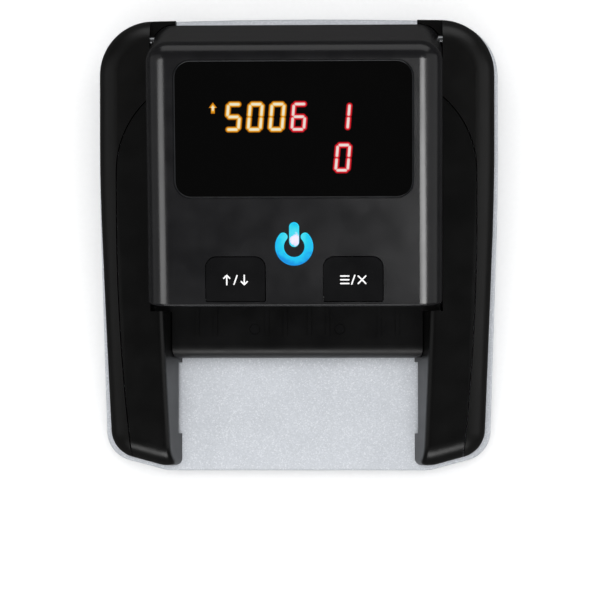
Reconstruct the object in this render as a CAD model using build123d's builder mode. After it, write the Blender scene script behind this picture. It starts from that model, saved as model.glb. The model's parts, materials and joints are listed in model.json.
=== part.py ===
"""Automatic counterfeit banknote detector, millimetres, +Z up, front towards -Y.

A silver lower case carries a black upper shell with two arm covers. Between the arms a note slides
under a hinged head, where rubber rollers pull it past the sensors and out at the rear.
The origin is the centre of the footprint, on the plane of the feet.
"""

import os
from math import atan2, cos, pi, radians, sin, sqrt, tan

from build123d import *

os.makedirs("parts", exist_ok=True)

# ---- driving dimensions -------------------------------------------------------------------------
# Heights
foot_h = 2.0
case_bottom_z = foot_h
case_floor_z = 4.0
case_rim_z = 9.5
tray_floor_z = 9.5
path_z = 20.6
path_gap = 2.0
exit_z = 18.0
head_top_z = 62.5

# Plan of the black upper body
upper_half_w = 64.9
upper_front_half_w = 61.6
upper_rear_y = 72.1
upper_front_y = -73.8
taper_y = 18.0
front_corner_y = -69.2
tip_x = 44.5
wall = 2.0

# Plan of the silver lower case
lip = 1.9
lower_half_w = 66.7
lower_front_half_w = 63.6
lower_rear_y = 74.4
lower_rear_bow = 1.5
bow_radius = 1500.0
lower_rear_corner = 18.8

# Crowned top of the upper body: an arc across, turned about a far axis so that it falls to the front
fall_radius = 790.0
fall_axis_y = 77.6
crown_radius = 400.0
fall_top_z = 38.2
rim_radius = 7.5

# Head, measured in its side profile
head_half_w = 47.4
head_gap = 0.4
head_bottom_z = 23.4
head_rear_y = 70.0
head_rear_break_z = 33.0
head_ridge_y = 59.5
head_front_y = -22.8
head_front_z = 47.2
head_lip_y = -18.4
head_lip_z = 27.0
head_side_radius = 7.4
head_wall = 2.0

# Arms and note channel
bay_half_w = head_half_w + head_gap
bay_front_y = -23.4
channel_floor_half_w = 38.7
channel_top_half_w = 43.7
channel_top_z = 28.6

# Drive
shaft_r = 2.0
shaft_z = 14.6
roller_r = 6.4
front_shaft_y = -7.0
rear_shaft_y = 34.0
roller_x = 20.0
roller_w = 10.0
pinch_r = 4.6
pinch_z = path_z + 0.4 + 0.35 + pinch_r
bearing_x = 45.5
bush_r = 3.5
sensor_y = 12.0

# Gears
gear_module = 0.6
rear_gear_teeth = 28
idler_small_teeth = 12
idler_large_teeth = 26
pinion_teeth = 10
idler_stud_r = 1.0
inner_gear_x = -52.7
inner_gear_w = 2.5
outer_gear_x = -56.4
outer_gear_w = 3.0
shaft_end_x = 57.0

# Hinge of the head
hinge_y = 65.0
hinge_z = 33.0
hinge_pin_r = 1.25

# Fasteners
screw_r = 1.3
screw_head_r = 2.6


def save(piece, name):
    """Labels a finished piece and writes it to its own STEP file."""
    piece.part.label = name
    export_step(piece.part, f"parts/{name}.step")


# ---- shared outlines ----------------------------------------------------------------------------
def upper_plan(inset=0.0):
    """Outline of the black upper body from above, moved inwards by inset."""
    with BuildSketch() as plan:
        with BuildLine():
            FilletPolyline(
                (-upper_half_w, upper_rear_y),
                (upper_half_w, upper_rear_y),
                (upper_half_w, taper_y),
                (upper_front_half_w, front_corner_y),
                (tip_x, upper_front_y),
                (-tip_x, upper_front_y),
                (-upper_front_half_w, front_corner_y),
                (-upper_half_w, taper_y),
                radius=[17.5, 17.5, 900, 9.5, 10, 10, 9.5, 900],
                close=True,
            )
        make_face()
        if inset:
            offset(amount=-inset)
    return plan.sketch


def lower_plan(inset=0.0):
    """Outline of the silver lower case from above; its rear edge is slightly bowed."""
    bow_turn = atan2(lower_rear_bow, lower_half_w)
    rear_reach = lower_rear_y + lower_rear_bow - bow_radius * (1 / cos(bow_turn) - 1)
    front_y = -rear_reach
    with BuildSketch() as plan:
        with BuildLine():
            FilletPolyline(
                (-lower_half_w, lower_rear_y),
                (0, lower_rear_y + lower_rear_bow),
                (lower_half_w, lower_rear_y),
                (lower_half_w, taper_y),
                (lower_front_half_w, front_corner_y - 1.0),
                (tip_x - 1.0, front_y),
                (-tip_x + 1.0, front_y),
                (-lower_front_half_w, front_corner_y - 1.0),
                (-lower_half_w, taper_y),
                radius=[lower_rear_corner, bow_radius, lower_rear_corner, 900, 10, 12, 12, 10, 900],
                close=True,
            )
        make_face()
        if inset:
            offset(amount=-inset)
    return plan.sketch


def upper_form(inset=0.0):
    """Solid of the upper body: plan walls under a crowned top with a rounded rim."""
    axis_z = fall_top_z - fall_radius
    edge_x = upper_half_w + 8
    edge_drop = edge_x**2 / (2 * crown_radius)
    with BuildPart() as form:
        with BuildSketch(Plane.XY.offset(case_rim_z - inset)):
            add(upper_plan(inset))
        extrude(amount=40)
        with BuildSketch(Plane.XZ.offset(-fall_axis_y)):
            with BuildLine():
                Line((-edge_x, 0), (edge_x, 0))
                Line((edge_x, 0), (edge_x, fall_top_z - inset - edge_drop))
                ThreePointArc(
                    (edge_x, fall_top_z - inset - edge_drop),
                    (0, fall_top_z - inset),
                    (-edge_x, fall_top_z - inset - edge_drop),
                )
                Line((-edge_x, fall_top_z - inset - edge_drop), (-edge_x, 0))
            make_face()
        revolve(
            axis=Axis((0, fall_axis_y, axis_z), (1, 0, 0)), revolution_arc=12, mode=Mode.INTERSECT
        )
        rim = form.faces().sort_by(Axis.Z)[-1].edges()
        fillet(rim, rim_radius - inset)
    return form.part


def channel(inset=0.0):
    """V-sided trough between the arms, narrower towards its floor, widened by inset."""
    slope = (channel_top_half_w - channel_floor_half_w) / (channel_top_z - tray_floor_z)
    low_z = tray_floor_z - 12
    high_z = 60
    low_x = channel_floor_half_w - slope * 12 + inset
    high_x = channel_floor_half_w + slope * (high_z - tray_floor_z) + inset
    with BuildPart() as trough:
        with BuildSketch(Plane.XZ):
            Polygon((-low_x, low_z), (low_x, low_z), (high_x, high_z), (-high_x, high_z), align=None)
        extrude(amount=90, both=True)
    return trough.part


def arm_plan(grow=0.0):
    """Outline of the right arm cover from above; its outer edge swings out from the head and runs forward."""
    inner_x = 30
    front = (53.6, -78)
    widest = (58.7, 12)
    turn = (58.7, 22)
    rear = (bay_half_w - 1.2, 46.8)
    with BuildSketch() as plan:
        with BuildLine():
            side = ThreePointArc(front, (57.5, -34), widest)
            Line(widest, turn)
            TangentArc(turn, rear, tangent=(0, 1))
            Line(rear, (inner_x, 46.8))
            Line((inner_x, 46.8), (inner_x, -78))
            Line((inner_x, -78), side @ 0)
        make_face()
        if grow:
            offset(amount=grow)
    return plan.sketch


outer_form = upper_form()
inner_form = upper_form(wall)


def bay(gap=0.0):
    """Space between the arms and shoulders that holds the head, with rounded rear corners."""
    half_w = bay_half_w + gap
    rear_y = head_rear_y + 0.9 + gap
    corner = head_side_radius + 0.6
    with BuildPart() as room:
        with BuildSketch(Plane.XY.offset(-5)):
            with BuildLine():
                FilletPolyline(
                    (-half_w, bay_front_y - gap),
                    (half_w, bay_front_y - gap),
                    (half_w, rear_y),
                    (-half_w, rear_y),
                    radius=[0, 0, corner, corner],
                    close=True,
                )
            make_face()
        extrude(amount=80)
    return room.part


def arm_body(inset=0.0):
    """Right arm as a solid, all its walls moved inwards by inset."""
    with BuildPart() as body:
        add(outer_form if not inset else inner_form)
        with BuildSketch(Plane.XY.offset(-5)):
            add(arm_plan(-inset))
        extrude(amount=60, mode=Mode.INTERSECT)
        add(channel(inset), mode=Mode.SUBTRACT)
        add(bay(inset), mode=Mode.SUBTRACT)
    return body.part


# ---- arm covers ---------------------------------------------------------------------------------
notch_front_y = -63.3
notch_rear_y = -39.6
post_r = 3.2
arm_post_y = (-60.0, -20.5)
arm_post_x = (49.0, 52.5)

with BuildPart() as arm_cavity:
    add(arm_body(wall))
    with BuildSketch(Plane.XY):
        with Locations(*zip(arm_post_x, arm_post_y)):
            Circle(post_r)
    extrude(amount=60, mode=Mode.SUBTRACT)
    # room for the finger relief low in the wall beside the note
    with Locations((channel_floor_half_w + 2.2, (notch_front_y + notch_rear_y) / 2, tray_floor_z)):
        Box(3.2, notch_rear_y - notch_front_y + 4, 13.4, mode=Mode.SUBTRACT)

with BuildPart() as right_arm_cover:
    add(arm_body())
    inner_tip = (
        right_arm_cover.edges()
        .filter_by(lambda e: e.length > 4 and abs(e.center().Y - upper_front_y) < 0.5)
        .sort_by(Axis.X)[0]
    )
    fillet(inner_tip, 2.2)
    add(arm_cavity.part, mode=Mode.SUBTRACT)
    with Locations((channel_floor_half_w, (notch_front_y + notch_rear_y) / 2, tray_floor_z)):
        Box(2.2, notch_rear_y - notch_front_y, 9.0, mode=Mode.SUBTRACT)
    with BuildSketch(Plane.XY.offset(tray_floor_z - 1)):
        with Locations(*zip(arm_post_x, arm_post_y)):
            Circle(screw_r)
    extrude(amount=10, mode=Mode.SUBTRACT)
    # room for the shafts, gears and belt beside the head
    with Locations((bay_half_w + 1.0, 14, tray_floor_z + 4)):
        Box(4.4, 66, 13, mode=Mode.SUBTRACT)
    with Locations((bay_half_w + 7.4, 16, tray_floor_z + 6.6)):
        Box(10, 66, 18.2, mode=Mode.SUBTRACT)
save(right_arm_cover, "right_arm_cover")

with BuildPart() as left_arm_cover:
    add(mirror(right_arm_cover.part, about=Plane.YZ))
save(left_arm_cover, "left_arm_cover")

# ---- upper shell --------------------------------------------------------------------------------
seam = 0.35
shell_post_x = 57.5
shell_post_y = 54.0
exit_half_w = 43.5
exit_top_z = head_bottom_z + 2.6
wrap_half_w = 39.6
wrap_top_z = 30.4
jack_x = 50.0
jack_z = 13.6
usb_x = -52.0
usb_z = 13.1

shell_posts = [(shell_post_x, shell_post_y), (-shell_post_x, shell_post_y)]

with BuildPart() as shell_cavity:
    add(inner_form)
    add(bay(1.8), mode=Mode.SUBTRACT)
    with BuildSketch(Plane.XY):
        with Locations(*shell_posts):
            Circle(post_r)
    extrude(amount=60, mode=Mode.SUBTRACT)
    # bosses that hold the hinge pins
    for side in (-1, 1):
        with BuildSketch(Plane.YZ.offset(side * bay_half_w)):
            with Locations((hinge_y, hinge_z)):
                Circle(3.4)
        extrude(amount=side * 6, mode=Mode.SUBTRACT)

with BuildPart() as upper_shell:
    add(outer_form)
    add(shell_cavity.part, mode=Mode.SUBTRACT)
    add(bay(), mode=Mode.SUBTRACT)
    # arm openings, left and right, and the trough between them
    with BuildSketch(Plane.XY.offset(-5)):
        add(arm_plan(seam))
        add(mirror(arm_plan(seam), about=Plane.YZ))
    extrude(amount=60, mode=Mode.SUBTRACT)
    with Locations((0, -50, 30)):
        Box(2 * bay_half_w, 100, 60, mode=Mode.SUBTRACT)
    # screw holes and hinge pin holes
    with BuildSketch(Plane.XY.offset(case_rim_z - 1)):
        with Locations(*shell_posts):
            Circle(screw_r)
    extrude(amount=11, mode=Mode.SUBTRACT)
    for side in (-1, 1):
        with BuildSketch(Plane.YZ.offset(side * (bay_half_w - 1))):
            with Locations((hinge_y, hinge_z)):
                Circle(hinge_pin_r)
        extrude(amount=side * 6, mode=Mode.SUBTRACT)
    # note exit above the low rear wall, the corners that wrap the head, and room for its swing
    for half_w, low_z, high_z in (
        (exit_half_w, exit_z + 0.4, exit_top_z),
        (wrap_half_w, exit_top_z, 60),
        (bay_half_w, wrap_top_z, 60),
    ):
        with Locations((0, 71, (low_z + high_z) / 2)):
            Box(2 * half_w, 17, high_z - low_z, mode=Mode.SUBTRACT)
    # the drive and the sockets pass under the wall beside the head
    for side in (-1, 1):
        with Locations((side * (bay_half_w - 2.1), 57, 13)):
            Box(9.4, 25.8, 11.2, mode=Mode.SUBTRACT)
    # power socket hole and data socket hole in the rear wall
    with BuildSketch(Plane.XZ.offset(-60)):
        with Locations((jack_x, jack_z)):
            Circle(4.2)
        with Locations((usb_x, usb_z)):
            RectangleRounded(9.0, 4.6, 1.2)
    extrude(amount=-20, mode=Mode.SUBTRACT)
    body = upper_shell.solids().sort_by(SortBy.VOLUME)[-1]
    add(body, mode=Mode.REPLACE)
save(upper_shell, "upper_shell")

# ---- lower case ---------------------------------------------------------------------------------
case_screws_at = [
    (arm_post_x[0], arm_post_y[0]),
    (-arm_post_x[0], arm_post_y[0]),
    (arm_post_x[1], arm_post_y[1]),
    (-arm_post_x[1], arm_post_y[1]),
    (shell_post_x, shell_post_y),
    (-shell_post_x, shell_post_y),
]
foot_xy = [(50, 62), (-50, 62), (53, -50), (-53, -50)]
chassis_legs = [(-42.2, -16), (42.2, -16), (-42.2, 25), (42.2, 25)]
battery_x0, battery_x1 = -14.0, 32.0
battery_y0, battery_y1 = 43.0, 68.0
bay_x = (battery_x0 + battery_x1) / 2
bay_y = (battery_y0 + battery_y1) / 2
bay_len = battery_x1 - battery_x0
bay_wid = battery_y1 - battery_y0
bay_wall = 1.5
bay_wall_h = 10.0
door_gap = 0.25
door_t = 1.8
board_posts = [(-36, -28), (36, -28), (-36, 24), (36, 24)]
board_post_h = 1.5
boss_r = 3.6
head_recess_r = screw_head_r + 0.3
head_recess_h = 3.4
foot_recess = 0.6
foot_r = 5.0
leg_recess_h = 1.0

tray_floor_t = 2.0
tray_rear_y = -36.5
with BuildPart() as tray_floor:
    with BuildSketch(Plane.XY.offset(tray_floor_z - tray_floor_t)):
        add(lower_plan(1.0))
    extrude(amount=tray_floor_t)
    with Locations((0, tray_rear_y - 50, tray_floor_z)):
        Box(2 * (channel_floor_half_w + 3.4), 100, 10, mode=Mode.INTERSECT)

with BuildPart() as bottom_case:
    with BuildSketch(Plane.XY.offset(case_bottom_z)):
        add(lower_plan())
    extrude(amount=case_rim_z - case_bottom_z)
    chamfer(bottom_case.faces().sort_by(Axis.Z)[0].edges(), 2.2)
    fillet(bottom_case.faces().sort_by(Axis.Z)[-1].edges(), 0.7)
    with BuildSketch(Plane.XY.offset(case_floor_z)):
        add(lower_plan(lip + wall + 0.2))
    extrude(amount=10, mode=Mode.SUBTRACT)
    add(tray_floor.part)
    # screw bosses
    with BuildSketch(Plane.XY.offset(case_floor_z)):
        with Locations(*case_screws_at):
            Circle(boss_r)
    extrude(amount=tray_floor_z - case_floor_z)
    with BuildSketch(Plane.XY.offset(case_bottom_z)):
        with Locations(*case_screws_at):
            Circle(head_recess_r)
    extrude(amount=head_recess_h, mode=Mode.SUBTRACT)
    with BuildSketch(Plane.XY.offset(case_bottom_z)):
        with Locations(*case_screws_at):
            Circle(screw_r + 0.25)
    extrude(amount=10, mode=Mode.SUBTRACT)
    with BuildSketch(Plane.XY.offset(case_bottom_z)):
        with Locations(*chassis_legs):
            Circle(head_recess_r)
    extrude(amount=leg_recess_h, mode=Mode.SUBTRACT)
    with BuildSketch(Plane.XY.offset(case_bottom_z)):
        with Locations(*chassis_legs):
            Circle(screw_r + 0.25)
    extrude(amount=3, mode=Mode.SUBTRACT)
    # board posts
    with BuildSketch(Plane.XY.offset(case_floor_z)):
        with Locations(*board_posts):
            Circle(2.6)
    extrude(amount=board_post_h)
    # battery bay: opening for its door, with walls above
    with BuildSketch(Plane.XY.offset(case_floor_z)):
        with Locations((bay_x, bay_y)):
            Rectangle(bay_len + 2 * bay_wall, bay_wid + 2 * bay_wall)
            Rectangle(bay_len, bay_wid, mode=Mode.SUBTRACT)
    extrude(amount=bay_wall_h)
    with BuildSketch(Plane.XY.offset(case_bottom_z)):
        with Locations((bay_x, bay_y)):
            Rectangle(bay_len, bay_wid)
    extrude(amount=2.5, mode=Mode.SUBTRACT)
    # recesses for the feet
    with BuildSketch(Plane.XY.offset(case_bottom_z)):
        with Locations(*foot_xy):
            Circle(foot_r + 0.2)
    extrude(amount=foot_recess, mode=Mode.SUBTRACT)
    # cooling slots
    with BuildSketch(Plane.XY.offset(case_bottom_z)):
        with Locations((0, 8)):
            with GridLocations(5, 0, 9, 1):
                SlotOverall(26, 2.0, rotation=90)
    extrude(amount=3, mode=Mode.SUBTRACT)
save(bottom_case, "bottom_case")

with BuildPart() as battery_door:
    with BuildSketch(Plane.XY.offset(case_bottom_z)):
        with Locations((bay_x, bay_y)):
            Rectangle(bay_len - 2 * door_gap, bay_wid - 2 * door_gap)
    extrude(amount=door_t)
    # finger groove at its rear edge
    with Locations((bay_x, battery_y1 - 4, case_bottom_z)):
        Box(12, 3, 1.2, mode=Mode.SUBTRACT)
save(battery_door, "battery_door")

with BuildPart() as rubber_feet:
    with BuildSketch():
        with Locations(*foot_xy):
            Circle(foot_r)
    extrude(amount=foot_h + foot_recess)
    fillet(rubber_feet.faces().group_by(Axis.Z)[0].edges(), 0.6)
save(rubber_feet, "rubber_feet")


def screw(x, y, under_head_z, length, head_h=1.6):
    """Pan-head screw standing on its head, point up, at (x, y)."""
    with BuildPart(mode=Mode.PRIVATE) as made:
        with BuildSketch(Plane.XY.offset(under_head_z - head_h)):
            with Locations((x, y)):
                Circle(screw_head_r)
        extrude(amount=head_h)
        fillet(made.faces().sort_by(Axis.Z)[0].edges(), 0.5)
        with BuildSketch(Plane.XY.offset(under_head_z)):
            with Locations((x, y)):
                Circle(screw_r - 0.05)
        extrude(amount=length)
        with Locations((x, y, under_head_z - head_h)):
            Box(2.6, 0.6, 1.4, mode=Mode.SUBTRACT)
            Box(0.6, 2.6, 1.4, mode=Mode.SUBTRACT)
    return made.part


with BuildPart() as case_screws:
    for x, y in case_screws_at:
        add(screw(x, y, case_bottom_z + head_recess_h, 10))
save(case_screws, "case_screws")

# ---- lower note guide, which is also the chassis of the drive ------------------------------------
plate_t = 1.8
guide_front_y = -38.2
guide_rear_y = 69.4
ramp_y = 50.0
guide_front_half_w = 41.4
guide_half_w = 47.2
entry_xy = [(-14, -29), (14, -29)]
rail_x = 43.2
rail_h = 1.3

# Gear centres, in the plane of the side wall
idler_rise = 1.5
idler_gap = gear_module * (rear_gear_teeth + idler_small_teeth) / 2
motor_gap = gear_module * (idler_large_teeth + pinion_teeth) / 2
idler_z = shaft_z + idler_rise
idler_y = rear_shaft_y + sqrt(idler_gap**2 - idler_rise**2)
motor_z = 11.2
motor_y = idler_y + sqrt(motor_gap**2 - (idler_z - motor_z) ** 2)

with BuildPart() as beside_tongue:
    with Locations((0, bay_front_y - 20, 20)):
        Box(120, 40, 40)
    add(channel(-0.3), mode=Mode.SUBTRACT)

with BuildPart() as lower_guide:
    with BuildSketch(Plane.YZ):
        with BuildLine():
            FilletPolyline(
                (guide_front_y, tray_floor_z + 0.2),
                (guide_front_y, path_z),
                (ramp_y, path_z),
                (guide_rear_y, exit_z),
                (guide_rear_y, exit_z - plate_t),
                (ramp_y, path_z - plate_t),
                (guide_front_y + plate_t, path_z - plate_t),
                (guide_front_y + plate_t, tray_floor_z + 0.2),
                radius=[0, 4.0, 60, 0, 0, 60, 2.2, 0],
                close=True,
            )
        make_face()
    extrude(amount=guide_half_w, both=True)
    # the part in front of the head is narrower, to pass between the arms
    for side in (-1, 1):
        with Locations((side * (guide_front_half_w + 10), bay_front_y - 20 + 0.2, 15)):
            Box(20, 40, 30, mode=Mode.SUBTRACT)
    with Locations((guide_half_w + 8, 62, 15)):
        Box(20, 24, 30, mode=Mode.SUBTRACT)
    # side rails that guide the note's edges
    for side in (-1, 1):
        with Locations((side * rail_x, (bay_front_y + ramp_y) / 2 + 1, path_z + rail_h / 2)):
            Box(1.4, ramp_y - bay_front_y - 4, rail_h)
    # bearing walls, the left one longer to carry the motor, and the legs
    for x, rear in ((-bearing_x - 0.9, 64.0), (bearing_x + 0.9, 50.0)):
        with Locations((x, (rear - 19) / 2, 12.6)):
            Box(1.8, rear + 19, 14.2)
    with BuildSketch(Plane.XY.offset(case_floor_z)):
        with Locations(*chassis_legs):
            Circle(2.6)
    extrude(amount=path_z - case_floor_z - 1)
    with BuildSketch(Plane.XY.offset(case_floor_z)):
        with Locations(*chassis_legs):
            Circle(screw_r)
    extrude(amount=10, mode=Mode.SUBTRACT)
    # openings for the rollers
    for y in (front_shaft_y, rear_shaft_y):
        with Locations((roller_x, y, path_z - 1), (-roller_x, y, path_z - 1)):
            Box(roller_w + 2, 12.6, 6, mode=Mode.SUBTRACT)
    # sensor opening
    with Locations((0, sensor_y, path_z - 1)):
        Box(80.4, 10.4, 6, mode=Mode.SUBTRACT)
    # seats for the magnetic head and the two entry sensors
    with Locations((0, front_shaft_y, path_z - 1)):
        Box(9.2, 7.2, 6, mode=Mode.SUBTRACT)
    with BuildSketch(Plane.XY.offset(path_z - 3)):
        with Locations(*entry_xy):
            Circle(1.7)
    extrude(amount=6, mode=Mode.SUBTRACT)
    # low ribs that carry the note
    rib_x = (-33, -27, -10, -4, 4, 10, 27, 33)
    for x in rib_x:
        with Locations((x, (guide_front_y + 7 + front_shaft_y - 8) / 2, path_z + 0.15)):
            Box(1.2, front_shaft_y - 8 - guide_front_y - 7, 0.5)
    # bush seats through the bearing walls, and the holes for the motor and the idler stud
    with BuildSketch(Plane.YZ.offset(-60)):
        with Locations((front_shaft_y, shaft_z), (rear_shaft_y, shaft_z)):
            Circle(bush_r)
    extrude(amount=120, mode=Mode.SUBTRACT)
    with BuildSketch(Plane.YZ.offset(-60)):
        with Locations((motor_y, motor_z)):
            Circle(2.6)
        with Locations((idler_y, idler_z)):
            Circle(idler_stud_r)
    extrude(amount=20, mode=Mode.SUBTRACT)
    # the front tongue follows the sloping walls of the arms
    add(beside_tongue.part, mode=Mode.SUBTRACT)
save(lower_guide, "lower_guide")


# ---- drive --------------------------------------------------------------------------------------
def rod(y, z, radius, x0, x1):
    """Round bar along X."""
    with BuildPart(mode=Mode.PRIVATE) as made:
        with BuildSketch(Plane.YZ.offset(x0)):
            with Locations((y, z)):
                Circle(radius)
        extrude(amount=x1 - x0)
    return made.part


def tube(y, z, outer, inner, x0, x1):
    """Round tube along X."""
    with BuildPart(mode=Mode.PRIVATE) as made:
        with BuildSketch(Plane.YZ.offset(x0)):
            with Locations((y, z)):
                Circle(outer)
                Circle(inner, mode=Mode.SUBTRACT)
        extrude(amount=x1 - x0)
    return made.part


def spur_gear(y, z, teeth, bore, x0, width, first_tooth):
    """Straight-toothed gear turning about X, with one tooth pointing along first_tooth (radians)."""
    tip = gear_module * (teeth + 2) / 2
    root = gear_module * (teeth - 2.6) / 2
    half = pi / (2 * teeth) * 0.86
    corners = []
    for n in range(teeth):
        turn = first_tooth + 2 * pi * n / teeth
        for radius, swing in ((root, -1.5), (tip, -0.5), (tip, 0.5), (root, 1.5)):
            angle = turn + swing * half
            corners.append((y + radius * cos(angle), z + radius * sin(angle)))
    with BuildPart(mode=Mode.PRIVATE) as made:
        with BuildSketch(Plane.YZ.offset(x0)):
            with BuildLine():
                Polyline(*corners, close=True)
            make_face()
            with Locations((y, z)):
                Circle(bore, mode=Mode.SUBTRACT)
        extrude(amount=width)
    return made.part


run_fit = 0.05
to_idler = atan2(idler_rise, idler_y - rear_shaft_y)
to_motor = atan2(motor_z - idler_z, motor_y - idler_y)
pulley_x0, pulley_x1 = 50.6, 55.8
pulley_r = 4.2
belt_gap = 0.3
belt_t = 0.9

with BuildPart() as shaft_bushes:
    for y in (front_shaft_y, rear_shaft_y):
        for x0 in (-bearing_x - 1.8, bearing_x):
            add(tube(y, shaft_z, bush_r, shaft_r + run_fit, x0, x0 + 1.8))
save(shaft_bushes, "shaft_bushes")

with BuildPart() as rear_drive_shaft:
    add(rod(rear_shaft_y, shaft_z, shaft_r, -shaft_end_x, shaft_end_x - 0.8))
save(rear_drive_shaft, "rear_drive_shaft")

with BuildPart() as front_drive_shaft:
    add(rod(front_shaft_y, shaft_z, shaft_r, -49.0, shaft_end_x - 0.8))
save(front_drive_shaft, "front_drive_shaft")


def roller_pair(y):
    """Two rubber sleeves on one drive shaft, with rounded edges."""
    with BuildPart(mode=Mode.PRIVATE) as made:
        for x in (-roller_x, roller_x):
            with BuildSketch(Plane.YZ.offset(x - roller_w / 2)):
                with Locations((y, shaft_z)):
                    Circle(roller_r)
                    Circle(shaft_r, mode=Mode.SUBTRACT)
            extrude(amount=roller_w)
        rims = made.edges().filter_by(GeomType.CIRCLE).filter_by(lambda e: e.radius > roller_r - 0.1)
        fillet(rims, 0.6)
    return made.part


def belt_pulley(y):
    """Flanged pulley at the right-hand end of a drive shaft."""
    with BuildPart(mode=Mode.PRIVATE) as made:
        add(tube(y, shaft_z, pulley_r, shaft_r, pulley_x0, pulley_x1))
        add(tube(y, shaft_z, pulley_r + 1.6, shaft_r, pulley_x0, pulley_x0 + 0.6))
        add(tube(y, shaft_z, pulley_r + 1.6, shaft_r, pulley_x1 - 0.6, pulley_x1))
    return made.part


with BuildPart() as rear_drive_rollers:
    add(roller_pair(rear_shaft_y))
save(rear_drive_rollers, "rear_drive_rollers")

with BuildPart() as front_drive_rollers:
    add(roller_pair(front_shaft_y))
save(front_drive_rollers, "front_drive_rollers")

with BuildPart() as rear_belt_pulley:
    add(belt_pulley(rear_shaft_y))
save(rear_belt_pulley, "rear_belt_pulley")

with BuildPart() as front_belt_pulley:
    add(belt_pulley(front_shaft_y))
save(front_belt_pulley, "front_belt_pulley")

with BuildPart() as drive_belt:
    with BuildSketch(Plane.YZ.offset(pulley_x0 + 0.9)):
        with Locations(((front_shaft_y + rear_shaft_y) / 2, shaft_z)):
            SlotCenterToCenter(rear_shaft_y - front_shaft_y, 2 * (pulley_r + belt_gap + belt_t))
            SlotCenterToCenter(
                rear_shaft_y - front_shaft_y, 2 * (pulley_r + belt_gap), mode=Mode.SUBTRACT
            )
    extrude(amount=pulley_x1 - pulley_x0 - 1.8)
save(drive_belt, "drive_belt")

with BuildPart() as rear_shaft_gear:
    add(
        spur_gear(
            rear_shaft_y, shaft_z, rear_gear_teeth, shaft_r, outer_gear_x, outer_gear_w, to_idler
        )
    )
save(rear_shaft_gear, "rear_shaft_gear")

with BuildPart() as compound_gear:
    mesh_small = to_idler + pi + pi / idler_small_teeth
    bore = idler_stud_r + run_fit
    add(
        spur_gear(
            idler_y, idler_z, idler_small_teeth, bore, outer_gear_x, outer_gear_w, mesh_small
        )
    )
    add(
        spur_gear(
            idler_y, idler_z, idler_large_teeth, bore, inner_gear_x, inner_gear_w, to_motor
        )
    )
    add(tube(idler_y, idler_z, 2.6, bore, outer_gear_x, inner_gear_x + inner_gear_w))
save(compound_gear, "compound_gear")

with BuildPart() as compound_gear_stud:
    add(rod(idler_y, idler_z, idler_stud_r, -shaft_end_x - 0.2, -bearing_x + 0.6))
    add(tube(idler_y, idler_z, 2.2, idler_stud_r, inner_gear_x + inner_gear_w + 0.1, -bearing_x - 1.8))
save(compound_gear_stud, "compound_gear_stud")

with BuildPart() as motor_pinion:
    mesh_pinion = to_motor + pi + pi / pinion_teeth
    add(
        spur_gear(
            motor_y, motor_z, pinion_teeth, 1.0, inner_gear_x, inner_gear_w, mesh_pinion
        )
    )
save(motor_pinion, "motor_pinion")

motor_len = 25.0
motor_r = 7.75
with BuildPart() as motor_shaft:
    add(rod(motor_y, motor_z, 1.0, inner_gear_x - 0.4, -bearing_x + motor_len + 1.6))
save(motor_shaft, "motor_shaft")

with BuildPart() as drive_motor:
    with BuildSketch(Plane.YZ.offset(-bearing_x)):
        with Locations((motor_y, motor_z)):
            Circle(motor_r)
            Rectangle(2 * motor_r, 12.0, mode=Mode.INTERSECT)
    extrude(amount=motor_len)
    add(rod(motor_y, motor_z, 2.5, -bearing_x - 1.6, -bearing_x))
    add(rod(motor_y, motor_z, 3.0, -bearing_x + motor_len, -bearing_x + motor_len + 1.0))
    with BuildSketch(Plane.YZ.offset(-60)):
        with Locations((motor_y, motor_z)):
            Circle(1.0 + run_fit)
    extrude(amount=60, mode=Mode.SUBTRACT)
save(drive_motor, "drive_motor")

# ---- boards and sensors in the lower half -------------------------------------------------------
board_z = case_floor_z + board_post_h
board_t = 1.6
board_top = board_z + board_t

with BuildPart() as main_pcb:
    with BuildSketch(Plane.XY.offset(board_z)):
        with Locations((0, 2)):
            RectangleRounded(78, 72, 2)
    extrude(amount=board_t)
save(main_pcb, "main_pcb")

with BuildPart() as main_processor:
    with Locations((-18, 10, board_top + 0.6)):
        Box(14, 14, 1.2)
    with Locations((16, -24, board_top + 0.6)):
        Box(9, 7, 1.2)
save(main_processor, "main_processor")

with BuildPart() as buzzer:
    with BuildSketch(Plane.XY.offset(board_top)):
        with Locations((28, 12)):
            Circle(5)
            Circle(1, mode=Mode.SUBTRACT)
    extrude(amount=4.6)
    fillet(buzzer.faces().sort_by(Axis.Z)[-1].outer_wire().edges(), 0.5)
save(buzzer, "buzzer")

with BuildPart() as board_capacitors:
    with BuildSketch(Plane.XY.offset(board_top)):
        with Locations((-30, -26), (-22, -26), (8, 20)):
            Circle(2.5)
    extrude(amount=5.0)
save(board_capacitors, "board_capacitors")

with BuildPart() as dc_socket:
    with Locations((jack_x, 63.1, board_top + 5.5)):
        Box(9, 10.4, 11)
    with BuildSketch(Plane.XZ.offset(-68.2)):
        with Locations((jack_x, jack_z)):
            Circle(4.0)
    extrude(amount=-2.8)
    with BuildSketch(Plane.XZ.offset(-60)):
        with Locations((jack_x, jack_z)):
            Circle(3.15)
            Circle(1.0, mode=Mode.SUBTRACT)
    extrude(amount=-20, mode=Mode.SUBTRACT)
    with Locations((jack_x, 76, jack_z)):
        Box(10, 10.2, 10, mode=Mode.SUBTRACT)
save(dc_socket, "dc_socket")

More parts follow.
